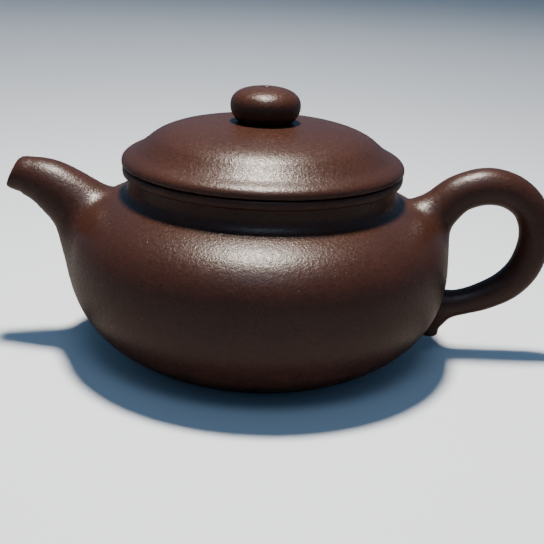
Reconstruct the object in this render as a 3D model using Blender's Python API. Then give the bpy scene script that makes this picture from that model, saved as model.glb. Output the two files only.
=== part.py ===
"""Yixing clay teapot: a flat drum-shaped pot with a domed lift-off lid.

Every piece of clay that a potter joins with slip is an object of its own. The driving
dimensions are in millimetres. The pot is turned about a vertical axis, the spout points to -X,
the handle to +X, and the pot stands on z = 0. The origin is under the middle of the whole
object, so the turning axis stands a little to the spout's side of it.
"""

import math

import bmesh
import bpy
from mathutils import Matrix, Vector

MM = 0.001  # metres in a millimetre
GAP = 0.3  # between pieces that touch on the real pot
SIDES = 40  # around every turned piece
SLIM_SIDES = 24  # around the knob and the strainer
TUBE_SIDES = 16  # around the spout and the handle

# Belly: an upper and a lower half superellipse that share the widest circle.
BELLY_RADIUS = 54.0
BELLY_HEIGHT = 28.0  # of the widest circle above the table
UPPER_RISE = 22.1
UPPER_POWER = 2.8
LOWER_DROP = 33.1
LOWER_POWER = 2.27
WALL = 3.0
FLOOR_TOP = 4.8
SEAM_RADIUS = 44.0  # where the shoulder disc is joined to the beaten body wall

# Pressed-in base: the pot rests on a narrow ring around a shallow hollow.
REST_RING_INNER = 29.4
BASE_EDGE_LIFT = 0.7
BASE_HOLLOW = 2.2

# Neck and mouth.
MOUTH_RADIUS = 34.5
NECK_RADIUS = 37.7
NECK_TOP = 51.9
NECK_FILLET = 3.0
NECK_FOOT_EDGE = 0.25  # thickness left at the hollow curve's outer edge
LIP_RADIUS = 39.3
LIP_TOP = 54.9

# Lid: a domed sheet on a flat seat ring, with a locating flange below it.
LID_RADIUS = 39.5
SEAT_UNDERSIDE = LIP_TOP + GAP
RIM_MIDDLE = 56.0  # height of the rim's widest circle
RIM_TOP = 58.1
RIM_ROUND = 3.2  # radial width of the rim's rounded edge
DOME_RADIUS = 35.05
DOME_BASE = 52.65
DOME_RISE = 14.55
DOME_POWER = 3.1
DOME_FLANK_RADIUS = 31.7  # outside this the dome runs straight down to the rim
DOME_BLEND = 0.8  # softness of the hollow curve between dome and rim
DOME_FOOT_RADIUS = 35.9
SEAT_SHELF = 56.8  # the flat that the dome is joined to
FLANGE_RADIUS = 34.0
FLANGE_WALL = 2.6
FLANGE_BOTTOM = 46.4
SEAT_RING_INNER = 31.0

# Knob, pierced by the vent.
KNOB_RADIUS = 9.75
KNOB_MIDDLE = 71.6
KNOB_RISE = 5.3
KNOB_DROP = 6.6
KNOB_UPPER_POWER = 2.5
KNOB_LOWER_POWER = 2.0
KNOB_FOOT_RADIUS = 6.9
KNOB_FOOT_TOP = 68.3
VENT_RADIUS = 1.1

# Spout and handle centre lines in the upright plane y = 0, seen from the pot's axis:
# (distance along X, height, half thickness).
SPOUT_LINE = [
    (-39.5, 27.3, 14.2),
    (-46.7, 35.3, 11.2),
    (-52.9, 41.8, 8.7),
    (-60.0, 46.95, 7.05),
    (-66.0, 49.1, 5.55),
    (-69.2, 49.55, 4.65),
    (-70.5, 50.05, 4.4),
]
SPOUT_MOUTH_WALL = 1.5
SPOUT_ROOT_WALL = 4.6
HANDLE_LINE = [
    (42.0, 33.6, 8.6),
    (46.6, 40.0, 7.6),
    (50.8, 44.3, 6.0),
    (56.1, 49.05, 5.4),
    (63.8, 51.45, 5.3),
    (71.2, 50.0, 5.0),
    (76.7, 45.3, 4.75),
    (79.0, 37.5, 4.6),
    (77.4, 28.7, 4.65),
    (73.0, 22.6, 4.5),
    (66.6, 18.7, 4.15),
    (60.3, 16.45, 3.85),
    (54.4, 15.3, 4.0),
    (47.0, 15.0, 4.2),
]
TAIL_LINE = [
    (54.8, 15.6, 3.4),
    (52.6, 11.6, 3.4),
    (51.3, 8.6, 2.9),
    (51.0, 5.9, 2.8),
]

# Strainer: a pierced disc across the spout's root.
STRAINER_CENTRE = (-49.6, 38.6)
STRAINER_TILT = math.radians(45.0)
STRAINER_RADIUS = 5.5
STRAINER_THICKNESS = 2.2
STRAINER_HOLE_RADIUS = 0.9
STRAINER_HOLE_CIRCLE = 3.4
STRAINER_HOLES = 6

SPOUT_REACH = 72.35  # from the turning axis
HANDLE_REACH = 83.6
AXIS_X = (SPOUT_REACH - HANDLE_REACH) / 2.0


def clay(name, red, green, blue, roughness):
    """A plain fired-clay material."""
    material = bpy.data.materials.new(name)
    material.use_nodes = True
    shader = material.node_tree.nodes["Principled BSDF"]
    shader.inputs["Base Color"].default_value = (red, green, blue, 1.0)
    shader.inputs["Roughness"].default_value = roughness
    shader.inputs["Metallic"].default_value = 0.0
    return material


def add_object(name, shape, material):
    """Turn a bmesh in millimetres, drawn about the pot's axis, into an object in metres."""
    bmesh.ops.recalc_face_normals(shape, faces=shape.faces)
    mesh = bpy.data.meshes.new(name)
    shape.to_mesh(mesh)
    shape.free()
    mesh.transform(Matrix.Scale(MM, 4) @ Matrix.Translation((AXIS_X, 0.0, 0.0)))
    mesh.shade_smooth()
    mesh.set_sharp_from_angle(angle=math.radians(40.0))
    if material:
        mesh.materials.append(material)
    piece = bpy.data.objects.new(name, mesh)
    bpy.context.collection.objects.link(piece)
    return piece


def turned(profile, sides=SIDES):
    """Spin a closed (radius, height) profile about Z."""
    shape = bmesh.new()
    verts = [shape.verts.new((radius, 0.0, height)) for radius, height in profile]
    edges = [shape.edges.new((verts[i - 1], verts[i])) for i in range(len(verts))]
    on_axis = [e for e in edges if max(v.co.x for v in e.verts) < 1e-6]
    bmesh.ops.delete(shape, geom=on_axis, context="EDGES_FACES")
    bmesh.ops.spin(
        shape,
        geom=list(shape.verts) + list(shape.edges),
        axis=(0.0, 0.0, 1.0),
        cent=(0.0, 0.0, 0.0),
        angle=2.0 * math.pi,
        steps=sides,
        use_merge=True,
    )
    bmesh.ops.remove_doubles(shape, verts=shape.verts, dist=1e-5)
    return shape


def superellipse_point(half_width, half_height, power, angle):
    """A point of a quarter superellipse: angle 0 is its widest, a quarter turn its pole."""
    across = half_width * max(math.cos(angle), 0.0) ** (2.0 / power)
    along = half_height * max(math.sin(angle), 0.0) ** (2.0 / power)
    return across, along


def superellipse_angle_at_width(half_width, power, width):
    return math.acos((width / half_width) ** (power / 2.0))


def superellipse_angle_at_height(half_height, power, height):
    return math.asin((height / half_height) ** (power / 2.0))


def steps_between(start, end, count):
    return [start + (end - start) * i / count for i in range(count + 1)]


def belly_curve(start, end, count, grow=0.0):
    """Belly points from one angle to another, negative below the widest circle."""
    points = []
    for angle in steps_between(start, end, count):
        rise, power = (UPPER_RISE, UPPER_POWER) if angle >= 0.0 else (LOWER_DROP, LOWER_POWER)
        across, along = superellipse_point(BELLY_RADIUS + grow, rise + grow, power, abs(angle))
        points.append((across, BELLY_HEIGHT + math.copysign(along, angle)))
    return points


def shoulder_height(radius, grow=0.0):
    """Height of the belly's upper side at a radius."""
    ratio = radius / (BELLY_RADIUS + grow)
    rise = (UPPER_RISE + grow) * (1.0 - ratio**UPPER_POWER) ** (1.0 / UPPER_POWER)
    return BELLY_HEIGHT + rise


SEAM_ANGLE = superellipse_angle_at_width(BELLY_RADIUS, UPPER_POWER, SEAM_RADIUS)
SEAM_GAP_ANGLE = GAP / 40.0


def body_wall():
    """The beaten strip: from the ring that it rests on, around the belly, to the seam."""
    ground = -superellipse_angle_at_height(LOWER_DROP, LOWER_POWER, BELLY_HEIGHT)
    floor = -superellipse_angle_at_height(
        LOWER_DROP - WALL, LOWER_POWER, BELLY_HEIGHT - FLOOR_TOP
    )
    outside = belly_curve(ground, 0.0, 7) + belly_curve(0.0, SEAM_ANGLE, 6)[1:]
    inside = belly_curve(SEAM_ANGLE, 0.0, 4, -WALL) + belly_curve(0.0, floor, 5, -WALL)[1:]
    return turned([(REST_RING_INNER, 0.0)] + outside + inside + [(REST_RING_INNER, FLOOR_TOP)])


def base_disc():
    """The floor, pressed up in the middle so that only the ring around it rests."""
    edge = REST_RING_INNER - GAP
    underside = []
    for radius in steps_between(0.0, edge, 2):
        lift = BASE_HOLLOW + (BASE_EDGE_LIFT - BASE_HOLLOW) * (radius / edge) ** 2
        underside.append((radius, lift))
    return turned(underside + [(edge, FLOOR_TOP), (0.0, FLOOR_TOP + BASE_EDGE_LIFT)])


def shoulder_disc():
    """The ring of clay that closes the top of the wall down to the mouth."""
    start = SEAM_ANGLE + SEAM_GAP_ANGLE
    mouth = superellipse_angle_at_width(BELLY_RADIUS, UPPER_POWER, MOUTH_RADIUS)
    mouth_inside = superellipse_angle_at_width(BELLY_RADIUS - WALL, UPPER_POWER, MOUTH_RADIUS)
    outside = belly_curve(start, mouth, 3)
    inside = belly_curve(mouth_inside, start, 2, -WALL)
    return turned(outside + inside)


def neck_collar():
    """The short neck, with a hollow curve where it meets the shoulder."""
    foot = [
        (radius, shoulder_height(radius) + GAP)
        for radius in steps_between(MOUTH_RADIUS, NECK_RADIUS + NECK_FILLET, 3)
    ]
    fillet = []
    for angle in steps_between(0.0, math.pi / 2.0, 3):
        radius = NECK_RADIUS + NECK_FILLET * (1.0 - math.sin(angle))
        depth = NECK_FOOT_EDGE + NECK_FILLET * (1.0 - math.cos(angle))
        fillet.append((radius, shoulder_height(radius) + GAP + depth))
    return turned(foot + fillet + [(NECK_RADIUS, NECK_TOP), (MOUTH_RADIUS, NECK_TOP)])


def mouth_lip():
    """The rounded band around the mouth that the lid sits on."""
    bottom = NECK_TOP + GAP
    half = (LIP_TOP - bottom) / 2.0
    bead = []
    for angle in steps_between(math.radians(-75.0), math.radians(75.0), 4):
        across = LIP_RADIUS - half * 0.7 * (1.0 - math.cos(angle))
        bead.append((across, bottom + half + half * math.sin(angle)))
    return turned([(MOUTH_RADIUS, bottom)] + bead + [(MOUTH_RADIUS, LIP_TOP)])


def lid_height(radius):
    """Upper surface of the lid: the dome's flank runs into the flat rim in a hollow curve."""
    curved = min(radius, DOME_FLANK_RADIUS)
    ratio = (curved / DOME_RADIUS) ** DOME_POWER
    rise = DOME_RISE * (1.0 - ratio) ** (1.0 / DOME_POWER)
    slope = rise * ratio / (curved * (1.0 - ratio))
    dome = DOME_BASE + rise - slope * (radius - curved)
    return RIM_TOP + DOME_BLEND * math.log1p(math.exp((dome - RIM_TOP) / DOME_BLEND))


def lid_dome():
    """The domed sheet, pierced by the vent, standing on the seat ring's shelf."""
    foot = SEAT_SHELF + GAP
    radii = [VENT_RADIUS, 11.0, 19.0, 25.0, 29.5, 32.5, 34.3, DOME_FOOT_RADIUS]
    outside = [(radius, lid_height(radius)) for radius in radii]
    inner_radius = DOME_RADIUS - WALL
    inner_rise = DOME_RISE - WALL
    low = superellipse_angle_at_height(inner_rise, DOME_POWER, foot - DOME_BASE)
    high = superellipse_angle_at_width(inner_radius, DOME_POWER, VENT_RADIUS)
    inside = []
    for angle in steps_between(low, high, 4):
        across, along = superellipse_point(inner_radius, inner_rise, DOME_POWER, angle)
        inside.append((across, DOME_BASE + along))
    return turned(outside + [(DOME_FOOT_RADIUS, foot)] + inside)


def lid_seat_ring():
    """The flat ring under the dome: its rounded edge is the lid's rim."""
    step = DOME_FOOT_RADIUS + GAP
    rounding = [(step, lid_height(step))]
    for angle in steps_between(math.radians(90.0), 0.0, 4)[1:]:
        across = LID_RADIUS - RIM_ROUND * (1.0 - math.cos(angle))
        drop = (RIM_TOP - RIM_MIDDLE) * (1.0 - math.sin(angle))
        rounding.append((across, lid_height(across) - drop))
    return turned(
        [(SEAT_RING_INNER, SEAT_SHELF), (step, SEAT_SHELF)]
        + rounding
        + [(LID_RADIUS - 0.5, SEAT_UNDERSIDE + 0.2), (LID_RADIUS - 1.2, SEAT_UNDERSIDE)]
        + [(SEAT_RING_INNER, SEAT_UNDERSIDE)]
    )


def lid_flange():
    """The collar that drops into the mouth and keeps the lid central."""
    inner = FLANGE_RADIUS - FLANGE_WALL
    top = SEAT_UNDERSIDE - GAP
    chamfer = 0.6
    return turned(
        [
            (inner, top),
            (inner, FLANGE_BOTTOM),
            (FLANGE_RADIUS - chamfer, FLANGE_BOTTOM),
            (FLANGE_RADIUS, FLANGE_BOTTOM + chamfer),
            (FLANGE_RADIUS, top),
        ]
    )


def knob():
    """A flattened bead on a slightly spread foot, with the vent through it."""
    top = superellipse_angle_at_width(KNOB_RADIUS, KNOB_UPPER_POWER, VENT_RADIUS)
    outside = []
    for angle in steps_between(top, 0.0, 5):
        across, along = superellipse_point(KNOB_RADIUS, KNOB_RISE, KNOB_UPPER_POWER, angle)
        outside.append((across, KNOB_MIDDLE + along))
    waist = superellipse_angle_at_height(
        KNOB_DROP, KNOB_LOWER_POWER, KNOB_MIDDLE - KNOB_FOOT_TOP
    )
    for angle in steps_between(0.0, waist, 4)[1:]:
        across, along = superellipse_point(KNOB_RADIUS, KNOB_DROP, KNOB_LOWER_POWER, angle)
        outside.append((across, KNOB_MIDDLE - along))
    foot = lid_height(KNOB_FOOT_RADIUS) + 2.0 * GAP
    return turned(outside + [(KNOB_FOOT_RADIUS, foot), (VENT_RADIUS, foot)], SLIM_SIDES)


def smooth_line(stations, count):
    """A Catmull-Rom curve through the stations, with count steps in each span."""
    vectors = [Vector(station) for station in stations]
    ends = [2.0 * vectors[0] - vectors[1]] + vectors + [2.0 * vectors[-1] - vectors[-2]]
    line = []
    for before, start, end, after in zip(ends, ends[1:], ends[2:], ends[3:]):
        for step in range(count):
            t = step / count
            line.append(
                0.5
                * (
                    2.0 * start
                    + (end - before) * t
                    + (2.0 * before - 5.0 * start + 4.0 * end - after) * t * t
                    + (3.0 * start - before - 3.0 * end + after) * t * t * t
                )
            )
    return line + [vectors[-1]]


def tube(line, thinner=None, extend=0.0):
    """A closed round-ended-off tube along a line of (x, z, half thickness) stations.

    thinner takes the place along the tube, 0 to 1, and gives what to take off the half
    thickness. extend pushes the last ring on by that length.
    """
    shape = bmesh.new()
    rings = []
    for i, station in enumerate(line):
        ahead = line[min(i + 1, len(line) - 1)] - line[max(i - 1, 0)]
        along = Vector((ahead.x, 0.0, ahead.y)).normalized()
        across = Vector((-along.z, 0.0, along.x))
        centre = Vector((station.x, 0.0, station.y))
        if i == len(line) - 1:
            centre += along * extend
        half = station.z - (thinner(i / (len(line) - 1)) if thinner else 0.0)
        ring = []
        for side in range(TUBE_SIDES):
            angle = 2.0 * math.pi * side / TUBE_SIDES
            place = centre + across * (half * math.cos(angle))
            place.y += half * math.sin(angle)
            ring.append(shape.verts.new(place))
        rings.append(ring)
    for low, high in zip(rings, rings[1:]):
        for side in range(TUBE_SIDES):
            shape.faces.new((low[side - 1], low[side], high[side], high[side - 1]))
    shape.faces.new(rings[0])
    shape.faces.new(rings[-1])
    return shape


def bore_wall(place):
    """Clay left between the spout's outside and its bore, thinner towards the mouth."""
    return SPOUT_ROOT_WALL + (SPOUT_MOUTH_WALL - SPOUT_ROOT_WALL) * place


def spout_solid():
    return tube(smooth_line(SPOUT_LINE, 3))


def spout_bore():
    return tube(smooth_line(SPOUT_LINE, 3), bore_wall, extend=2.0)


def handle_loop():
    return tube(smooth_line(HANDLE_LINE, 2))


def handle_tail():
    return tube(smooth_line(TAIL_LINE, 2))


def belly_block():
    """The whole belly as one solid, a gap larger all round, to trim what is joined to it."""
    pole = math.pi / 2.0
    outside = belly_curve(-pole, 0.0, 16, GAP) + belly_curve(0.0, pole, 16, GAP)[1:]
    return turned(outside)


def strainer_disc():
    edge = STRAINER_THICKNESS / 2.0
    crown = edge + 0.6
    profile = [(0.0, -edge), (STRAINER_RADIUS, -edge), (STRAINER_RADIUS, edge)]
    return turned(profile + [(STRAINER_RADIUS / 2.0, crown), (0.0, crown)], SLIM_SIDES)


def strainer_drills():
    """A drill in the middle and a ring of them around it."""
    shape = bmesh.new()
    places = [Vector((0.0, 0.0, 0.0))]
    for turn in range(STRAINER_HOLES):
        angle = 2.0 * math.pi * turn / STRAINER_HOLES
        places.append(Vector((math.cos(angle), math.sin(angle), 0.0)) * STRAINER_HOLE_CIRCLE)
    for place in places:
        bmesh.ops.create_cone(
            shape,
            cap_ends=True,
            segments=10,
            radius1=STRAINER_HOLE_RADIUS,
            radius2=STRAINER_HOLE_RADIUS,
            depth=4.0 * STRAINER_THICKNESS,
            matrix=Matrix.Translation(place),
        )
    return shape


def across_spout(shape):
    """Stand a shape drawn about Z across the spout's root, facing out along the spout."""
    tilt = Matrix.Rotation(STRAINER_TILT - math.pi / 2.0, 4, "Y")
    place = Matrix.Translation((STRAINER_CENTRE[0], 0.0, STRAINER_CENTRE[1]))
    bmesh.ops.transform(shape, matrix=place @ tilt, verts=shape.verts)
    return shape


def add_cutter(name, shape):
    cutter = add_object(name, shape, None)
    cutter.hide_render = True
    cutter.display_type = "WIRE"
    return cutter


def combine(piece, other, operation):
    modifier = piece.modifiers.new(other.name, "BOOLEAN")
    modifier.operation = operation
    modifier.object = other
    return modifier


def main():
    for old in list(bpy.data.objects):
        bpy.data.objects.remove(old, do_unlink=True)

    body_clay = clay("body_clay", 0.060, 0.024, 0.017, 0.42)
    lid_clay = clay("lid_clay", 0.066, 0.027, 0.019, 0.40)

    bore = add_cutter("guide_spout_bore", spout_bore())
    belly = add_cutter("guide_belly_block", belly_block())
    tail = add_cutter("guide_handle_tail", handle_tail())
    drills = add_cutter("guide_strainer_drills", across_spout(strainer_drills()))

    wall = add_object("body_wall", body_wall(), body_clay)
    combine(wall, bore, "DIFFERENCE")
    add_object("base_disc", base_disc(), body_clay)
    add_object("shoulder_disc", shoulder_disc(), body_clay)
    add_object("neck_collar", neck_collar(), body_clay)
    add_object("mouth_lip", mouth_lip(), body_clay)

    spout = add_object("spout", spout_solid(), body_clay)
    combine(spout, bore, "DIFFERENCE")
    combine(spout, belly, "DIFFERENCE")
    strainer = add_object("spout_strainer", across_spout(strainer_disc()), body_clay)
    combine(strainer, drills, "DIFFERENCE")

    handle = add_object("handle", handle_loop(), body_clay)
    combine(handle, tail, "UNION")
    combine(handle, belly, "DIFFERENCE")

    for name, shape in (
        ("lid_dome", lid_dome()),
        ("lid_seat_ring", lid_seat_ring()),
        ("lid_flange", lid_flange()),
        ("lid_knob", knob()),
    ):
        add_object(name, shape, lid_clay)


main()
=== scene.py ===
"""Yixing clay teapot: the finished look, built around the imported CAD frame.

Every visible piece of clay is modelled here at full smoothness and stands for the CAD piece of
the same job. Shapes are worked out in millimetres about the pot's turning axis, and are moved
to the frame's place when their mesh is made.

Turned pieces share one outline, so that their joints don't show, as on the fired pot. The spout
and the handle are drawn as fields, the distance from a curved tapering rod, and melt into the
belly's own field in a hollow curve, as a potter smooths wet clay.
"""

import math

import bmesh
import bpy
import numpy as np
from mathutils import Matrix, Vector


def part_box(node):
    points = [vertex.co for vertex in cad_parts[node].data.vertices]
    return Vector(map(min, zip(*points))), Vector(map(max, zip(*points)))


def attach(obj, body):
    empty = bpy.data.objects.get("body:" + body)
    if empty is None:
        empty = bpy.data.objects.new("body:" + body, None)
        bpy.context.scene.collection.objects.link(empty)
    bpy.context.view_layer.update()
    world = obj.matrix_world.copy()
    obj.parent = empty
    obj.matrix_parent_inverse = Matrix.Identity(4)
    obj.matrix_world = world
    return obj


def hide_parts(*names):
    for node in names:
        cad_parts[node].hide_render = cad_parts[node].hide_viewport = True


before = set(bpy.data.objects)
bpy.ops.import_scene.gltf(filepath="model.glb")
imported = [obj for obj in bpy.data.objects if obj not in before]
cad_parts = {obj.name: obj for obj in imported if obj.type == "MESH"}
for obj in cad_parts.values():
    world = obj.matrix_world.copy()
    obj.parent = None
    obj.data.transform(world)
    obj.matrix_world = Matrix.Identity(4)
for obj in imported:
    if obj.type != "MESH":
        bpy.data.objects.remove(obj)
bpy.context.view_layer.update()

MM = 0.001  # metres in a millimetre
GAP = 0.3  # left between CAD pieces, in millimetres


def box_mm(node):
    low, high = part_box(node)
    return np.array(low) / MM, np.array(high) / MM


LIP_LOW, LIP_HIGH = box_mm("mouth_lip")
AXIS_X = (LIP_LOW[0] + LIP_HIGH[0]) / 2.0


def radius_of(node):
    """Largest distance of a turned CAD piece from the turning axis."""
    low, high = box_mm(node)
    return (high[1] - low[1]) / 2.0


# Belly: an upper and a lower half superellipse that share the widest circle.
BELLY_RADIUS = radius_of("body_wall")
BELLY_HEIGHT = 28.0
UPPER_RISE = 22.1
UPPER_POWER = 2.8
LOWER_DROP = 33.1
LOWER_POWER = 2.27
WALL = 3.0
FLOOR_TOP = 4.8
SEAM_RADIUS = 44.0
INNER_SEAM_RADIUS = SEAM_RADIUS - 2.45

REST_RING_INNER = radius_of("base_disc") + GAP
BASE_HOLLOW = 2.2
BASE_EDGE_LIFT = 0.7

# Neck and mouth.
MOUTH_RADIUS = 34.5
NECK_RADIUS = 37.7
NECK_FILLET = 3.05
LIP_RADIUS = radius_of("mouth_lip")
LIP_BOTTOM = LIP_LOW[2]
LIP_TOP = LIP_HIGH[2]
LIP_POWER = 2.7  # squareness of the bead's section

# Lid.
LID_RADIUS = radius_of("lid_seat_ring")
SEAT_UNDERSIDE = box_mm("lid_seat_ring")[0][2]
RIM_TOP = 58.1
RIM_MIDDLE = 56.0
RIM_ROUND = 3.2  # radial width of the rim's rounded edge
RIM_LOW_EDGE = 0.4  # rounding under the rim
DOME_RADIUS = 35.05
DOME_BASE = 52.65
DOME_RISE = 14.55
DOME_POWER = 3.1
DOME_FLANK_RADIUS = 31.7  # outside this the dome runs straight down to the rim
DOME_BLEND = 0.8  # softness of the hollow curve between dome and rim
DOME_SEAM = 35.9
DOME_FOOT = RIM_TOP - 1.2
FLANGE_RADIUS = radius_of("lid_flange")
FLANGE_WALL = 2.6
FLANGE_BOTTOM = box_mm("lid_flange")[0][2]

# Knob, pierced by the vent.
KNOB_RADIUS = radius_of("lid_knob")
KNOB_MIDDLE = 71.6
KNOB_RISE = 5.3
KNOB_DROP = 6.6
KNOB_UPPER_POWER = 2.5
KNOB_LOWER_POWER = 2.0
KNOB_WAIST = 68.3
KNOB_FOOT_RADIUS = 6.9
VENT_RADIUS = 1.1
VENT_EDGE = 0.5  # rounding of the vent's edge

# Centre lines in the upright plane y = 0: (distance from the axis, height, half thickness).
SPOUT_LINE = [
    (-39.5, 27.3, 14.2),
    (-46.7, 35.3, 11.2),
    (-52.9, 41.8, 8.7),
    (-60.0, 46.95, 7.05),
    (-66.0, 49.1, 5.55),
    (-69.2, 49.55, 4.65),
    (-70.5, 50.05, 4.4),
]
SPOUT_MOUTH_WALL = 1.5
SPOUT_ROOT_WALL = 4.6
HANDLE_LINE = [
    (42.0, 33.6, 8.6),
    (46.6, 40.0, 7.6),
    (50.8, 44.3, 6.0),
    (56.1, 49.05, 5.4),
    (63.8, 51.45, 5.3),
    (71.2, 50.0, 5.0),
    (76.7, 45.3, 4.75),
    (79.0, 37.5, 4.6),
    (77.4, 28.7, 4.65),
    (73.0, 22.6, 4.5),
    (66.6, 18.7, 4.15),
    (60.3, 16.45, 3.85),
    (54.4, 15.3, 4.0),
    (47.0, 15.0, 4.2),
]
TAIL_LINE = [
    (54.8, 15.6, 3.4),
    (52.6, 11.6, 3.4),
    (51.3, 8.6, 2.9),
    (51.0, 4.9, 2.8),
]
TAIL_BOTTOM = 5.9

STRAINER_CENTRE = (-49.6, 38.6)
STRAINER_TILT = math.radians(45.0)
STRAINER_RADIUS = 5.5
STRAINER_THICKNESS = 2.2
STRAINER_HOLE_RADIUS = 0.9
STRAINER_HOLE_CIRCLE = 3.4
STRAINER_HOLES = 6

TURNS = 288  # facets around a turned piece
NET_STEP = 0.45  # grid of the fields, in millimetres
CHUNK = 20000  # points that a field works out at once
SINK = 0.03  # how far a melted piece's outer edge first dips under the pot's surface
SKIRT = 0.2  # how much further under it is at its very edge
ROOT_DEPTH = 1.5  # how deep in the pot's wall its inner side lies
SHARP_ANGLE = math.radians(38.0)  # edges that turn by more than this stay crisp


# ---------------------------------------------------------------- outlines


def superellipse(half_width, half_height, power, start, end, count):
    """Points of a quarter superellipse between two angles: 0 is the widest, pi/2 the pole."""
    angle = np.linspace(start, end, count)
    across = half_width * np.clip(np.cos(angle), 0.0, 1.0) ** (2.0 / power)
    along = half_height * np.clip(np.sin(angle), 0.0, 1.0) ** (2.0 / power)
    return np.stack([across, along], axis=1)


def angle_at_width(half_width, power, width):
    return math.acos((width / half_width) ** (power / 2.0))


def angle_at_height(half_height, power, height):
    return math.asin((height / half_height) ** (power / 2.0))


def lower_belly(grow, bottom, count):
    """From height bottom up to the widest circle."""
    low = angle_at_height(LOWER_DROP + grow, LOWER_POWER, BELLY_HEIGHT - bottom)
    curve = superellipse(
        BELLY_RADIUS + grow, LOWER_DROP + grow, LOWER_POWER, low, 0.0, count
    )
    return np.stack([curve[:, 0], BELLY_HEIGHT - curve[:, 1]], axis=1)


def upper_belly(grow, start_radius, end_radius, count):
    """From one radius in to a smaller one, over the upper side."""
    width = BELLY_RADIUS + grow
    start = 0.0
    if start_radius is not None:
        start = angle_at_width(width, UPPER_POWER, start_radius)
    end = angle_at_width(width, UPPER_POWER, end_radius)
    curve = superellipse(width, UPPER_RISE + grow, UPPER_POWER, start, end, count)
    return np.stack([curve[:, 0], BELLY_HEIGHT + curve[:, 1]], axis=1)


def arc(centre, across, along, start, end, count):
    """An elliptical arc, angles in degrees from the outward direction towards up."""
    angle = np.radians(np.linspace(start, end, count))
    points = np.stack([np.cos(angle) * across, np.sin(angle) * along], axis=1)
    return points + np.array(centre)


def bezier(start, control, end, count):
    t = np.linspace(0.0, 1.0, count)[:, None]
    start, control, end = (np.array(p, dtype=float) for p in (start, control, end))
    return start * (1 - t) ** 2 + 2 * control * t * (1 - t) + end * t**2


def line(start, end, spacing=0.5):
    start, end = np.array(start, dtype=float), np.array(end, dtype=float)
    count = max(2, int(np.linalg.norm(end - start) / spacing) + 1)
    return start + (end - start) * np.linspace(0.0, 1.0, count)[:, None]


def joined(*parts):
    """One outline from several, without the points that repeat where they meet."""
    points = np.concatenate([np.atleast_2d(np.array(p, dtype=float)) for p in parts])
    keep = [0]
    for i in range(1, len(points)):
        if np.linalg.norm(points[i] - points[keep[-1]]) > 1e-4:
            keep.append(i)
    return points[keep]


def neck_outline():
    """From the shoulder through the hollow curve and up the neck to the lip's underside."""
    shoulder = upper_belly(0.0, None, NECK_RADIUS + NECK_FILLET, 200)
    start = shoulder[-1]
    direction = start - shoulder[-2]
    corner = start + direction * ((NECK_RADIUS - start[0]) / direction[0])
    top = corner + np.array([0.0, NECK_FILLET * 0.95])
    crease = 0.5
    return joined(
        bezier(start, corner, top, 24),
        line(top, (NECK_RADIUS, LIP_BOTTOM - crease)),
        bezier(
            (NECK_RADIUS, LIP_BOTTOM - crease),
            (NECK_RADIUS, LIP_BOTTOM),
            (NECK_RADIUS + crease * 0.6, LIP_BOTTOM),
            6,
        ),
    )


def lip_outline():
    """The bead around the mouth, from its underside to the flat seat."""
    half = (LIP_TOP - LIP_BOTTOM) / 2.0
    depth = half * 0.85
    upper = superellipse(depth, half, LIP_POWER, 0.0, math.pi / 2.0, 16)
    lower = upper[::-1] * np.array([1.0, -1.0])
    return joined(lower, upper) + np.array([LIP_RADIUS - depth, LIP_BOTTOM + half])


def body_outline():
    """The pot's whole outside, from the ring that it rests on to the lip's seat."""
    return joined(
        lower_belly(0.0, 0.0, 140),
        upper_belly(0.0, None, NECK_RADIUS + NECK_FILLET, 130),
        neck_outline(),
        lip_outline(),
    )


def lid_surface(radius):
    """Upper surface of the lid: the dome's flank runs into the flat rim in a hollow curve."""
    curved = np.minimum(radius, DOME_FLANK_RADIUS)
    ratio = (curved / DOME_RADIUS) ** DOME_POWER
    rise = DOME_RISE * (1.0 - ratio) ** (1.0 / DOME_POWER)
    slope = rise * ratio / (curved * (1.0 - ratio))
    dome = DOME_BASE + rise - slope * (radius - curved)
    return RIM_TOP + DOME_BLEND * np.log1p(np.exp((dome - RIM_TOP) / DOME_BLEND))


# ---------------------------------------------------------------- meshes


def to_object(name, verts, faces, slot_name, body, *nodes):
    """A mesh piece from millimetre points about the turning axis."""
    mesh = bpy.data.meshes.new(name)
    placed = (np.asarray(verts) + np.array([AXIS_X, 0.0, 0.0])) * MM
    mesh.from_pydata(placed.tolist(), [], [list(map(int, f)) for f in faces])
    mesh.validate()
    return finish_piece(name, mesh, slot_name, body, *nodes)


def finish_piece(name, mesh, slot_name, body, *nodes):
    mesh.shade_smooth()
    mesh.set_sharp_from_angle(angle=SHARP_ANGLE)
    piece = bpy.data.objects.new(name, mesh)
    bpy.context.scene.collection.objects.link(piece)
    mesh.materials.append(MATERIALS[slot_name])
    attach(piece, body)
    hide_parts(*nodes)
    return piece


def turned(outline, turns=TURNS):
    """Vertices and faces of a closed (radius, height) outline spun about the axis."""
    outline = np.asarray(outline)
    count = len(outline)
    on_axis = outline[:, 0] < 1e-6
    angles = np.arange(turns) * 2.0 * math.pi / turns
    verts = []
    index = np.zeros((count, turns), dtype=int)
    for i, (radius, height) in enumerate(outline):
        if on_axis[i]:
            index[i] = len(verts)
            verts.append((0.0, 0.0, height))
            continue
        index[i] = np.arange(turns) + len(verts)
        verts.extend(
            zip(radius * np.cos(angles), radius * np.sin(angles), [height] * turns)
        )
    faces = []
    for i in range(count):
        j = (i + 1) % count
        if on_axis[i] and on_axis[j]:
            continue
        for k in range(turns):
            m = (k + 1) % turns
            face = [index[i, k], index[i, m], index[j, m], index[j, k]]
            faces.append(list(dict.fromkeys(face)))
    return np.array(verts), faces


def outward(verts, faces):
    """Turn the faces over if the closed mesh is inside out."""
    volume = 0.0
    for f in faces[:: max(1, len(faces) // 20000)]:
        a, b, c = verts[f[0]], verts[f[1]], verts[f[2]]
        volume += float(np.dot(a, np.cross(b, c)))
    return [f[::-1] for f in faces] if volume < 0.0 else faces


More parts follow.
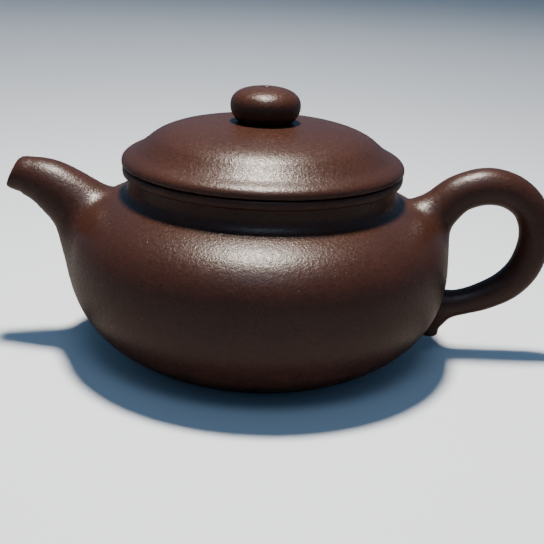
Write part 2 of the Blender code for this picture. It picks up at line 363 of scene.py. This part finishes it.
def add_turned(name, outline, slot_name, body, *nodes):
    verts, faces = turned(outline)
    return to_object(name, verts, outward(verts, faces), slot_name, body, *nodes)


# ---------------------------------------------------------------- fields


def smooth_line(stations, spacing):
    """A Catmull-Rom curve through the stations, read at about equal steps."""
    points = np.array(stations, dtype=float)
    ends = np.vstack([2 * points[0] - points[1], points, 2 * points[-1] - points[-2]])
    t = np.linspace(0.0, 1.0, 60, endpoint=False)[:, None]
    runs = []
    for a, b, c, d in zip(ends, ends[1:], ends[2:], ends[3:]):
        run = 2 * b + (c - a) * t + (2 * a - 5 * b + 4 * c - d) * t**2
        runs.append(0.5 * (run + (3 * b - a - 3 * c + d) * t**3))
    curve = np.vstack(runs + [points[-1:]])
    length = np.concatenate(
        [[0.0], np.cumsum(np.linalg.norm(np.diff(curve[:, :2], axis=0), axis=1))]
    )
    even = np.linspace(0.0, length[-1], int(length[-1] / spacing) + 1)
    return np.stack([np.interp(even, length, curve[:, i]) for i in range(3)], axis=1)


class Rod:
    """Distance from a curved, tapering rod in the plane y = 0, with round ends."""

    def __init__(self, stations, spacing=0.3):
        curve = smooth_line(stations, spacing)
        self.centre = curve[:, :2]
        self.half = curve[:, 2]
        slope = np.gradient(curve, axis=0)
        length = np.linalg.norm(slope[:, :2], axis=1, keepdims=True)
        self.along = slope[:, :2] / length
        self.taper = slope[:, 2] / length[:, 0]

    def __call__(self, p):
        out = np.empty(len(p))
        for first in range(0, len(p), CHUNK):
            q = p[first : first + CHUNK]
            flat = q[:, [0, 2]]
            near = nearest(flat, self.centre)
            gap = flat - self.centre[near]
            ahead = np.sum(gap * self.along[near], axis=1)
            across = gap - self.along[near] * ahead[:, None]
            side = q[:, 1]
            last = len(self.centre) - 1
            past = ((near == 0) & (ahead < 0.0)) | ((near == last) & (ahead > 0.0))
            square = np.sum(across**2, axis=1) + side**2 + np.where(past, ahead**2, 0.0)
            half = self.half[near] + self.taper[near] * np.where(past, 0.0, ahead)
            out[first : first + CHUNK] = np.sqrt(square) - half
        return out


def nearest(points, samples):
    """Index of the nearest sample to each point of the plane."""
    cross = points @ samples.T
    return np.argmin(np.sum(samples**2, axis=1)[None] - 2.0 * cross, axis=1)


class Turned:
    """Signed distance from the pot's outside, a turned surface."""

    def __init__(self, outline):
        length = np.concatenate(
            [[0.0], np.cumsum(np.linalg.norm(np.diff(outline, axis=0), axis=1))]
        )
        even = np.linspace(0.0, length[-1], int(length[-1] / 0.2) + 1)
        self.points = np.stack(
            [np.interp(even, length, outline[:, i]) for i in range(2)], axis=1
        )
        slope = np.gradient(self.points, axis=0)
        slope /= np.linalg.norm(slope, axis=1, keepdims=True)
        self.normal = np.stack([slope[:, 1], -slope[:, 0]], axis=1)

    def __call__(self, p):
        out = np.empty(len(p))
        for first in range(0, len(p), CHUNK):
            q = p[first : first + CHUNK]
            flat = np.stack([np.hypot(q[:, 0], q[:, 1]), q[:, 2]], axis=1)
            near = nearest(flat, self.points)
            out[first : first + CHUNK] = np.sum(
                (flat - self.points[near]) * self.normal[near], axis=1
            )
        return out


def melt(a, b, width):
    """Union of two fields with a hollow curve of the given width where they meet."""
    mixed = np.clip(width - np.abs(a - b), 0.0, None) / width
    return np.minimum(a, b) - mixed**3 * width / 6.0


def soft_cut(a, b, width):
    """What two fields have in common, with a rounded edge."""
    return -melt(-a, -b, width)


def ramp(value, low, high):
    t = np.clip((value - low) / (high - low), 0.0, 1.0)
    return t * t * (3.0 - 2.0 * t)


def surface_net(field, low, high, step=NET_STEP):
    """Vertices and quads of the field's zero surface, one vertex in each crossed cell."""
    sizes = [int(math.ceil((high[i] - low[i]) / step)) + 1 for i in range(3)]
    axes = [low[i] + step * np.arange(sizes[i]) for i in range(3)]
    grid = np.stack(np.meshgrid(*axes, indexing="ij"), axis=-1)
    value = field(grid.reshape(-1, 3)).reshape(sizes)
    corner = [(i, j, k) for i in (0, 1) for j in (0, 1) for k in (0, 1)]

    def at(offset):
        i, j, k = offset
        return value[
            i : sizes[0] - 1 + i, j : sizes[1] - 1 + j, k : sizes[2] - 1 + k
        ]

    inside = sum((at(c) < 0.0).astype(np.int8) for c in corner)
    crossed = (inside > 0) & (inside < 8)
    cells = np.argwhere(crossed)
    number = -np.ones(crossed.shape, dtype=int)
    number[crossed] = np.arange(len(cells))
    total = np.zeros((len(cells), 3))
    count = np.zeros(len(cells))
    for a in corner:
        for axis in range(3):
            if a[axis]:
                continue
            b = tuple(1 if i == axis else a[i] for i in range(3))
            va, vb = at(a)[crossed], at(b)[crossed]
            cut = (va < 0.0) != (vb < 0.0)
            share = np.where(cut, va / np.where(cut, va - vb, 1.0), 0.0)
            place = np.array(a, dtype=float) + share[:, None] * np.eye(3)[axis]
            total += np.where(cut[:, None], place, 0.0)
            count += cut
    verts = np.array(low) + step * (cells + total / count[:, None])
    quads = []
    for axis in range(3):
        u, v = [(1, 2), (2, 0), (0, 1)][axis]
        ahead = [slice(None)] * 3
        ahead[axis] = slice(1, None)
        back = [slice(None)] * 3
        back[axis] = slice(None, -1)
        low_in = value[tuple(back)] < 0.0
        high_in = value[tuple(ahead)] < 0.0
        edges = np.argwhere(low_in != high_in)
        edges = edges[(edges[:, u] > 0) & (edges[:, v] > 0)]
        edges = edges[(edges[:, u] < sizes[u] - 1) & (edges[:, v] < sizes[v] - 1)]
        rising = low_in[tuple(edges.T)]
        du, dv = np.eye(3, dtype=int)[u], np.eye(3, dtype=int)[v]
        ring = [
            number[tuple((edges - s * du - t * dv).T)]
            for s, t in ((0, 0), (1, 0), (1, 1), (0, 1))
        ]
        quad = np.stack(ring, axis=1)
        quad[~rising] = quad[~rising][:, ::-1]
        quads.append(quad)
    return verts, np.vstack(quads)


def onto_surface(field, verts, rounds=3):
    """Slide vertices along the field's slope until they lie on its zero surface.

    One that slides further than a cell has gone astray at a crease, and goes back.
    """
    reach = 0.02
    start = verts
    for _ in range(rounds):
        value = field(verts)
        slope = np.stack(
            [
                (field(verts + reach * np.eye(3)[i]) - value) / reach
                for i in range(3)
            ],
            axis=1,
        )
        square = np.clip(np.sum(slope**2, axis=1), 0.05, None)
        move = slope * (value / square)[:, None]
        size = np.linalg.norm(move, axis=1, keepdims=True)
        verts = verts - move * np.minimum(1.0, NET_STEP / np.maximum(size, 1e-9))
    stray = np.linalg.norm(verts - start, axis=1) > NET_STEP
    verts[stray] = start[stray]
    return verts


def relaxed(verts, quads, rounds=2):
    """Even out the net by moving every vertex towards the middle of its neighbours."""
    edges = np.vstack([quads[:, [i, (i + 1) % 4]] for i in range(4)])
    edges = np.vstack([edges, edges[:, ::-1]])
    for _ in range(rounds):
        total = np.zeros_like(verts)
        count = np.zeros(len(verts))
        np.add.at(total, edges[:, 0], verts[edges[:, 1]])
        np.add.at(count, edges[:, 0], 1.0)
        verts = 0.5 * verts + 0.5 * total / count[:, None]
    return verts


def net_mesh(field, low, high):
    """An even net of quads over the field's zero surface inside a box."""
    verts, quads = surface_net(field, low, high)
    verts = relaxed(verts, quads)
    verts = onto_surface(field, verts)
    verts = relaxed(verts, quads, 1)
    return onto_surface(field, verts), quads


# ---------------------------------------------------------------- clay


def node(tree, kind, **values):
    made = tree.nodes.new(kind)
    for name, value in values.items():
        setattr(made, name, value)
    return made


class Clay:
    """Builds one fired-clay material: colour, grain, specks, pits and a satin skin."""

    def __init__(self, name, dark, light, roughness):
        self.material = bpy.data.materials.new(name)
        self.material.use_nodes = True
        self.tree = self.material.node_tree
        self.shader = self.tree.nodes["Principled BSDF"]
        self.place = node(self.tree, "ShaderNodeTexCoord").outputs["Object"]
        self.colour(dark, light)
        self.skin(roughness)

    def link(self, output, target):
        self.tree.links.new(output, target)

    def noise(self, size_mm, detail=2.0, rough=0.5, warp=0.0):
        """Noise whose blobs are about size_mm across."""
        made = node(self.tree, "ShaderNodeTexNoise")
        self.link(self.place, made.inputs["Vector"])
        made.inputs["Scale"].default_value = 1.0 / (size_mm * MM)
        made.inputs["Detail"].default_value = detail
        made.inputs["Roughness"].default_value = rough
        made.inputs["Distortion"].default_value = warp
        return made.outputs["Fac"]

    def dots(self, spacing_mm, size_mm, share):
        """Round dots: about one cell in 1/share holds one. Gives 1 inside a dot."""
        cells = node(self.tree, "ShaderNodeTexVoronoi")
        self.link(self.place, cells.inputs["Vector"])
        cells.inputs["Scale"].default_value = 1.0 / (spacing_mm * MM)
        near = self.spread(cells.outputs["Distance"], size_mm / spacing_mm, 0.0, 0.0, 1.0)
        picked = node(self.tree, "ShaderNodeSeparateColor")
        self.link(cells.outputs["Color"], picked.inputs["Color"])
        chosen = self.sum(picked.outputs["Red"], share, "LESS_THAN")
        return self.sum(near, chosen, "MULTIPLY")

    def spread(self, value, low, high, to_low, to_high):
        made = node(self.tree, "ShaderNodeMapRange")
        self.link(value, made.inputs["Value"])
        for key, number in zip(
            ("From Min", "From Max", "To Min", "To Max"), (low, high, to_low, to_high)
        ):
            made.inputs[key].default_value = number
        return made.outputs["Result"]

    def sum(self, a, b, operation="ADD"):
        made = node(self.tree, "ShaderNodeMath", operation=operation)
        for socket, value in zip(made.inputs, (a, b)):
            if isinstance(value, (int, float)):
                socket.default_value = value
            else:
                self.link(value, socket)
        return made.outputs["Value"]

    def blend(self, factor, a, b):
        made = node(self.tree, "ShaderNodeMix", data_type="RGBA")
        self.link(factor, made.inputs["Factor"])
        for socket, value in ((made.inputs[6], a), (made.inputs[7], b)):
            if isinstance(value, tuple):
                socket.default_value = value + (1.0,)
            else:
                self.link(value, socket)
        return made.outputs[2]

    def colour(self, dark, light):
        broad = self.spread(self.noise(16.0, 3.0), 0.35, 0.65, 0.0, 1.0)
        mottled = self.spread(self.noise(1.1, 4.0, 0.65), 0.35, 0.68, 0.0, 1.0)
        mix = self.sum(self.sum(broad, 0.35, "MULTIPLY"), self.sum(mottled, 0.65, "MULTIPLY"))
        clay = self.blend(mix, dark, light)
        pale = self.dots(1.9, SPECK_SIZE, 0.30)
        clay = self.blend(self.sum(pale, 0.55, "MULTIPLY"), clay, PALE_SPECK)
        black = self.dots(2.6, SPECK_SIZE, 0.10)
        clay = self.blend(self.sum(black, 0.8, "MULTIPLY"), clay, DARK_SPECK)
        self.link(clay, self.shader.inputs["Base Color"])

    def skin(self, roughness):
        grain = self.noise(0.6, 3.0, 0.6)
        ripple = self.noise(1.4, 2.0)
        pits = self.dots(3.4, 0.22, 0.16)
        fine = self.sum(grain, GRAIN_DEPTH, "MULTIPLY")
        coarse = self.sum(ripple, RIPPLE_DEPTH, "MULTIPLY")
        height = self.sum(self.sum(fine, coarse), self.sum(pits, PIT_DEPTH, "MULTIPLY"), "SUBTRACT")
        bump = node(self.tree, "ShaderNodeBump")
        bump.inputs["Strength"].default_value = 1.0
        bump.inputs["Distance"].default_value = MM
        self.link(height, bump.inputs["Height"])
        self.link(bump.outputs["Normal"], self.shader.inputs["Normal"])
        patchy = self.spread(self.noise(0.8, 2.0), 0.3, 0.7, roughness - 0.07, roughness + 0.08)
        self.link(patchy, self.shader.inputs["Roughness"])
        self.shader.inputs["Specular IOR Level"].default_value = CLAY_SPECULAR
        self.shader.inputs["Metallic"].default_value = 0.0


PALE_SPECK = (0.30, 0.20, 0.14)
DARK_SPECK = (0.006, 0.004, 0.004)
SPECK_SIZE = 0.16  # millimetres
GRAIN_DEPTH = 0.10  # millimetres, crest to hollow
RIPPLE_DEPTH = 0.06
PIT_DEPTH = 0.10
CLAY_ROUGHNESS = 0.34
CLAY_SPECULAR = 0.28

# The clay's colour in the hollows of its mottling and on the crests.
CLAY_COLOURS = {
    "body_clay": ((0.021, 0.0073, 0.0044), (0.033, 0.0115, 0.0070)),
    "lid_clay": ((0.023, 0.0081, 0.0047), (0.036, 0.0126, 0.0075)),
}
MATERIALS = {
    name: Clay(name, dark, light, CLAY_ROUGHNESS).material
    for name, (dark, light) in CLAY_COLOURS.items()
}


# ---------------------------------------------------------------- pot


POT_OUTSIDE = body_outline()
POT = Turned(POT_OUTSIDE)


def outline_between(low_radius, low_height, high_radius, high_height):
    """The stretch of the pot's outside between the points nearest to two places."""
    start = nearest(np.array([[low_radius, low_height]]), POT_OUTSIDE)[0]
    end = nearest(np.array([[high_radius, high_height]]), POT_OUTSIDE)[0]
    return POT_OUTSIDE[start : end + 1]


def make_wall():
    seam_height = upper_belly(0.0, None, SEAM_RADIUS, 50)[-1][1]
    outside = outline_between(REST_RING_INNER, 0.0, SEAM_RADIUS, seam_height)
    inside_seam = upper_belly(-WALL, None, INNER_SEAM_RADIUS, 40)
    inside = joined(inside_seam[::-1], lower_belly(-WALL, FLOOR_TOP, 50)[::-1])
    outline = joined(
        line((REST_RING_INNER, 0.0), outside[0]),
        outside,
        inside,
        line(inside[-1], (REST_RING_INNER, FLOOR_TOP + 0.1), 1.0),
    )
    return add_turned("pot_wall", outline, "body_clay", "pot", "body_wall")


def make_base():
    radii = np.linspace(0.0, REST_RING_INNER - GAP, 24)
    share = (radii / radii[-1]) ** 2
    underside = np.stack([radii, BASE_HOLLOW + (BASE_EDGE_LIFT - BASE_HOLLOW) * share], axis=1)
    top = np.stack([radii, FLOOR_TOP + BASE_EDGE_LIFT * (1.0 - share)], axis=1)[::-1]
    return add_turned("pot_base", joined(underside, top), "body_clay", "pot", "base_disc")


def make_shoulder():
    seam_height = upper_belly(0.0, None, SEAM_RADIUS, 50)[-1][1]
    edge = upper_belly(0.0, None, NECK_RADIUS + NECK_FILLET, 50)[-1]
    outside = outline_between(SEAM_RADIUS, seam_height, *edge)
    under_neck = upper_belly(0.0, NECK_RADIUS + NECK_FILLET, MOUTH_RADIUS, 12)
    inside = upper_belly(-WALL, INNER_SEAM_RADIUS, MOUTH_RADIUS, 24)[::-1]
    outline = joined(outside, under_neck, inside)
    return add_turned("pot_shoulder", outline, "body_clay", "pot", "shoulder_disc")


def make_neck():
    outside = neck_outline()
    foot = upper_belly(0.0, NECK_RADIUS + NECK_FILLET, MOUTH_RADIUS, 12)[::-1]
    outline = joined(
        foot,
        outside,
        line(outside[-1], (MOUTH_RADIUS, LIP_BOTTOM), 1.0),
        line((MOUTH_RADIUS, LIP_BOTTOM), foot[0], 1.0),
    )
    return add_turned("pot_neck", outline, "body_clay", "pot", "neck_collar")


def make_lip():
    bead = lip_outline()
    edge = 0.4
    outline = joined(
        (MOUTH_RADIUS, LIP_BOTTOM),
        bead,
        arc((MOUTH_RADIUS + edge, LIP_TOP - edge), edge, edge, 90.0, 180.0, 6),
    )
    return add_turned("pot_lip", outline, "body_clay", "pot", "mouth_lip")


def melted_root(own, pot, width):
    """The piece and the hollow curve that joins it to the pot, as a closed skin.

    The curve's outer edge fades into the pot's surface and dives under it, so that no step
    shows. Width is the hollow curve's, spread how far out in it a point lies.
    """
    spread = own / width
    dive = SINK * ramp(spread, 0.5, 0.75) + SKIRT * ramp(spread, 0.86, 1.0)
    fade = 1.0 - ramp(spread, 0.4, 0.95)
    whole = pot + (melt(pot, own, width) - pot) * fade + dive
    inner_side = -(pot + ROOT_DEPTH)
    return np.maximum(whole, np.maximum(inner_side, own - width))


def handle_field():
    """The loop with its tail. The lower joint is tight, the upper one spreads widely."""
    loop = Rod(HANDLE_LINE)
    tail = Rod(TAIL_LINE)

    def field(p):
        pot = POT(p)
        ear = soft_cut(tail(p), TAIL_BOTTOM - p[:, 2], 0.7)
        own = melt(loop(p), ear, 3.0)
        height = p[:, 2]
        width = 1.0 + 7.0 * ramp(height, 22.0, 33.0) - 3.0 * ramp(height, 36.0, 47.0)
        return melted_root(own, pot, width)

    return field


def make_handle():
    low, high = box_mm("handle")
    low, high = low - 3.0, high + 2.0
    low[0], high[0] = low[0] - AXIS_X - 4.0, high[0] - AXIS_X
    low[1], high[1] = low[1] - 6.0, high[1] + 6.0
    verts, quads = net_mesh(handle_field(), low, high)
    return to_object("pot_handle", verts, outward(verts, quads), "body_clay", "pot", "handle")


def spout_field():
    """The spout with its bore, which runs lower than its middle and out through the mouth."""
    rod = Rod(SPOUT_LINE)
    stations = smooth_line(SPOUT_LINE, 1.0)
    place = np.linspace(0.0, 1.0, len(stations))
    wall = SPOUT_ROOT_WALL + (SPOUT_MOUTH_WALL - SPOUT_ROOT_WALL) * place
    bore_line = stations - np.stack([0 * wall, 0 * wall, wall], axis=1)
    end = bore_line[-1] + 3.0 * (bore_line[-1] - bore_line[-2])
    end[2] = bore_line[-1][2]
    bore = Rod(np.vstack([bore_line, end]))
    tip = np.array([rod.centre[-1][0], 0.0, rod.centre[-1][1]])
    facing = np.array([rod.along[-1][0], 0.0, rod.along[-1][1]])

    def field(p):
        pot = POT(p)
        own = soft_cut(rod(p), (p - tip) @ facing, 0.9)
        width = 11.0 - 5.0 * ramp(p[:, 2], 28.0, 46.0)
        return soft_cut(melted_root(own, pot, width), -bore(p), 0.8)

    return field


def make_spout():
    low, high = box_mm("spout")
    low, high = low - 2.0, high + 2.0
    low[0], high[0] = low[0] - AXIS_X, high[0] - AXIS_X + 8.0
    low[1], high[1] = low[1] - 9.0, high[1] + 9.0
    low[2] -= 12.0
    verts, quads = net_mesh(spout_field(), low, high)
    return to_object("pot_spout", verts, outward(verts, quads), "body_clay", "pot", "spout")


# ---------------------------------------------------------------- lid


def make_dome():
    radii = DOME_SEAM * np.sin(np.linspace(0.0, math.pi / 2.0, 110))
    radii = radii[radii > VENT_RADIUS]
    radii = np.concatenate([[VENT_RADIUS], radii])
    outside = np.stack([radii, lid_surface(radii)], axis=1)
    inner_radius, inner_rise = DOME_RADIUS - WALL, DOME_RISE - WALL
    low = angle_at_height(inner_rise, DOME_POWER, DOME_FOOT - DOME_BASE)
    high = angle_at_width(inner_radius, DOME_POWER, VENT_RADIUS)
    inside = superellipse(inner_radius, inner_rise, DOME_POWER, low, high, 40)
    inside[:, 1] += DOME_BASE
    outline = joined(outside, (DOME_SEAM, DOME_FOOT), inside)
    return add_turned("lid_top", outline, "lid_clay", "lid", "lid_dome")


def make_rim():
    edge = RIM_LOW_EDGE
    rim_centre = (LID_RADIUS - RIM_ROUND, RIM_MIDDLE)
    rim = arc(rim_centre, RIM_ROUND, RIM_TOP - RIM_MIDDLE, 90.0, 0.0, 30)
    rim[:, 1] += lid_surface(rim[:, 0]) - RIM_TOP
    under = arc((LID_RADIUS - edge, SEAT_UNDERSIDE + edge), edge, edge, 0.0, -90.0, 10)
    inner = FLANGE_RADIUS - FLANGE_WALL
    outline = joined(
        (inner, DOME_FOOT),
        (DOME_SEAM, DOME_FOOT),
        (DOME_SEAM, lid_surface(DOME_SEAM)),
        rim,
        under,
        line(under[-1], (inner, SEAT_UNDERSIDE), 1.0),
    )
    return add_turned("lid_rim", outline, "lid_clay", "lid", "lid_seat_ring")


def make_flange():
    inner = FLANGE_RADIUS - FLANGE_WALL
    edge = 0.7
    top = SEAT_UNDERSIDE
    outline = joined(
        (inner, top),
        line((inner, top), (inner, FLANGE_BOTTOM + edge)),
        arc((inner + edge, FLANGE_BOTTOM + edge), edge, edge, 180.0, 270.0, 8),
        arc((FLANGE_RADIUS - edge, FLANGE_BOTTOM + edge), edge, edge, 270.0, 360.0, 8),
        line((FLANGE_RADIUS, FLANGE_BOTTOM + edge), (FLANGE_RADIUS, top)),
    )
    return add_turned("lid_collar", outline, "lid_clay", "lid", "lid_flange")


def make_knob():
    top = angle_at_width(KNOB_RADIUS, KNOB_UPPER_POWER, VENT_RADIUS + VENT_EDGE)
    upper = superellipse(KNOB_RADIUS, KNOB_RISE, KNOB_UPPER_POWER, top, 0.0, 50)
    upper[:, 1] += KNOB_MIDDLE
    waist = angle_at_height(KNOB_DROP, KNOB_LOWER_POWER, KNOB_MIDDLE - KNOB_WAIST)
    lower = superellipse(KNOB_RADIUS, KNOB_DROP, KNOB_LOWER_POWER, 0.0, waist, 36)
    lower[:, 1] = KNOB_MIDDLE - lower[:, 1]
    foot = (KNOB_FOOT_RADIUS, float(lid_surface(np.array(KNOB_FOOT_RADIUS))))
    spread = bezier(lower[-1], (lower[-1][0] - 0.3, foot[1] + 0.35), foot, 12)
    lead_in_centre = (VENT_RADIUS + VENT_EDGE, upper[0][1] - VENT_EDGE)
    lead_in = arc(lead_in_centre, VENT_EDGE, VENT_EDGE, 180.0, 90.0, 12)
    outline = joined(lead_in, upper, lower, spread, (VENT_RADIUS, foot[1]))
    return add_turned("lid_bead", outline, "lid_clay", "lid", "lid_knob")


# ---------------------------------------------------------------- strainer


def across_spout():
    """Places the disc across the spout's root."""
    tilt = Matrix.Rotation(STRAINER_TILT - math.pi / 2.0, 4, "Y")
    return Matrix.Translation((STRAINER_CENTRE[0], 0.0, STRAINER_CENTRE[1])) @ tilt


def temporary(name, mesh_verts, mesh_faces):
    mesh = bpy.data.meshes.new(name)
    mesh.from_pydata([tuple(v) for v in mesh_verts], [], [tuple(map(int, f)) for f in mesh_faces])
    made = bpy.data.objects.new(name, mesh)
    bpy.context.scene.collection.objects.link(made)
    return made


def cut_away(piece, cutter):
    """Cut one mesh out of another and bake the result into the piece's mesh."""
    modifier = piece.modifiers.new("cut", "BOOLEAN")
    modifier.operation = "DIFFERENCE"
    modifier.object = cutter
    depsgraph = bpy.context.evaluated_depsgraph_get()
    result = bpy.data.meshes.new_from_object(piece.evaluated_get(depsgraph))
    piece.modifiers.remove(modifier)
    old = piece.data
    piece.data = result
    bpy.data.meshes.remove(old)
    mesh = cutter.data
    bpy.data.objects.remove(cutter)
    bpy.data.meshes.remove(mesh)


def make_strainer():
    edge = STRAINER_THICKNESS / 2.0
    r = STRAINER_RADIUS
    crown = arc((0.0, edge), r - 0.4, 0.7, 0.0, 90.0, 16)
    side = line((r, -edge), (r, edge - 0.3))
    outline = joined((0.0, -edge), (r, -edge), side, (r - 0.3, edge), crown)
    verts, faces = turned(outline, 96)
    shape = bmesh.new()
    places = [Vector((0.0, 0.0, 0.0))]
    for turn in range(STRAINER_HOLES):
        angle = 2.0 * math.pi * turn / STRAINER_HOLES
        places.append(Vector((math.cos(angle), math.sin(angle), 0.0)) * STRAINER_HOLE_CIRCLE)
    for place in places:
        bmesh.ops.create_cone(
            shape,
            cap_ends=True,
            segments=32,
            radius1=STRAINER_HOLE_RADIUS,
            radius2=STRAINER_HOLE_RADIUS,
            depth=4.0 * STRAINER_THICKNESS,
            matrix=Matrix.Translation(place),
        )
    drills = bpy.data.meshes.new("drills")
    shape.to_mesh(drills)
    shape.free()
    disc = temporary("disc", verts, outward(verts, faces))
    drill = bpy.data.objects.new("drills", drills)
    bpy.context.scene.collection.objects.link(drill)
    cut_away(disc, drill)
    mesh = disc.data
    bpy.data.objects.remove(disc)
    from_axis = Matrix.Translation((AXIS_X, 0.0, 0.0))
    mesh.transform(Matrix.Scale(MM, 4) @ from_axis @ across_spout())
    return finish_piece("pot_strainer", mesh, "body_clay", "pot", "spout_strainer")


# ---------------------------------------------------------------- stage


def look_from(distance, height, pitch, yaw, roll):
    """Camera matrix, from metres in front of the pot's axis and over the floor.

    Angles are degrees down, degrees to the right, and degrees that the subject leans clockwise.
    """
    pitch, yaw, roll = (math.radians(a) for a in (pitch, yaw, roll))
    level = math.cos(pitch)
    forward = Vector((math.sin(yaw) * level, math.cos(yaw) * level, -math.sin(pitch)))
    right = Vector((math.cos(yaw), -math.sin(yaw), 0.0))
    up = right.cross(forward)
    right, up = (
        math.cos(roll) * right + math.sin(roll) * up,
        -math.sin(roll) * right + math.cos(roll) * up,
    )
    turn = Matrix((right, up, -forward)).transposed().to_4x4()
    return Matrix.Translation((AXIS_X * MM, -distance, height)) @ turn


def make_camera():
    data = bpy.data.cameras.new("camera")
    data.sensor_width = 36.0
    data.lens = 65.95
    camera = bpy.data.objects.new("camera", data)
    bpy.context.scene.collection.objects.link(camera)
    camera.matrix_world = look_from(distance=0.2748, height=0.1184, pitch=19.11, yaw=0.80, roll=2.59)
    data.clip_start, data.clip_end = 0.01, 20.0
    bpy.context.scene.camera = camera


def area_light(name, place, target, size, power, colour):
    """A round lamp with one size in metres, or an oblong one with two, facing its target."""
    data = bpy.data.lights.new(name, "AREA")
    data.shape = "DISK" if len(size) == 1 else "RECTANGLE"
    data.size, data.size_y = size[0], size[-1]
    data.energy = power
    data.color = colour
    lamp = bpy.data.objects.new(name, data)
    bpy.context.scene.collection.objects.link(lamp)
    place, target = Vector(place), Vector(target)
    facing = (target - place).to_track_quat("-Z", "Y").to_matrix().to_4x4()
    lamp.matrix_world = Matrix.Translation(place) @ facing


def make_lights():
    """A small lamp close overhead, a bluish window in front, and a wash on the floor around."""
    axis = AXIS_X * MM
    pot = (axis, 0.0, 0.03)
    area_light("key", (axis - 0.01, 0.012, 0.525), pot, (0.08,), 9.3, (1.0, 0.92, 0.81))
    area_light("window", (axis + 0.02, -0.68, 1.15), pot, (0.5, 0.4), 3.2, (0.52, 0.74, 1.0))
    for turn in range(4):
        angle = math.pi / 2.0 * turn
        out = Vector((math.cos(angle), math.sin(angle), 0.0))
        place = out * 0.45 + Vector((0.0, 0.0, 0.8))
        target = place + out * 0.94 - Vector((0.0, 0.0, 0.34))  # away from the pot
        area_light(f"wash_{turn}", place, target, (0.4,), 7.5, (1.0, 0.96, 0.88))
    world = bpy.data.worlds.new("room")
    world.use_nodes = True
    tree = world.node_tree
    mix = node(tree, "ShaderNodeMix", data_type="RGBA")
    mix.inputs[6].default_value = (0.083, 0.161, 0.26, 1.0)  # what lights the scene
    mix.inputs[7].default_value = (0.60, 0.62, 0.64, 1.0)  # what shows behind the floor
    tree.links.new(node(tree, "ShaderNodeLightPath").outputs["Is Camera Ray"], mix.inputs["Factor"])
    tree.links.new(mix.outputs[2], tree.nodes["Background"].inputs["Color"])
    bpy.context.scene.world = world


def make_floor():
    """The pale floor, and just over it a dim copy that only the clay's gloss shows.

    Bare clay mirrors a floor far less than the shader does, so its gloss gets a darker one.
    """
    half = 2.0  # metres
    for name, colour, height, seen in (
        ("floor", (0.58, 0.62, 0.68, 1.0), 0.0, True),
        ("floor_gloss", (0.15, 0.135, 0.125, 1.0), 0.0001, False),
    ):
        mesh = bpy.data.meshes.new(name)
        corners = [(-half, -half), (half, -half), (half, half), (-half, half)]
        mesh.from_pydata([(x, y, height) for x, y in corners], [], [(0, 1, 2, 3)])
        material = bpy.data.materials.new(name)
        material.use_nodes = True
        shader = material.node_tree.nodes["Principled BSDF"]
        shader.inputs["Base Color"].default_value = colour
        shader.inputs["Roughness"].default_value = 0.55
        mesh.materials.append(material)
        floor = bpy.data.objects.new(name, mesh)
        bpy.context.scene.collection.objects.link(floor)
        floor.visible_glossy = not seen
        floor.visible_camera = seen
        floor.visible_diffuse = seen
        floor.visible_shadow = seen


make_camera()
make_lights()
make_floor()
for make in (
    make_wall,
    make_base,
    make_shoulder,
    make_neck,
    make_lip,
    make_handle,
    make_spout,
    make_strainer,
    make_dome,
    make_rim,
    make_flange,
    make_knob,
):
    make()
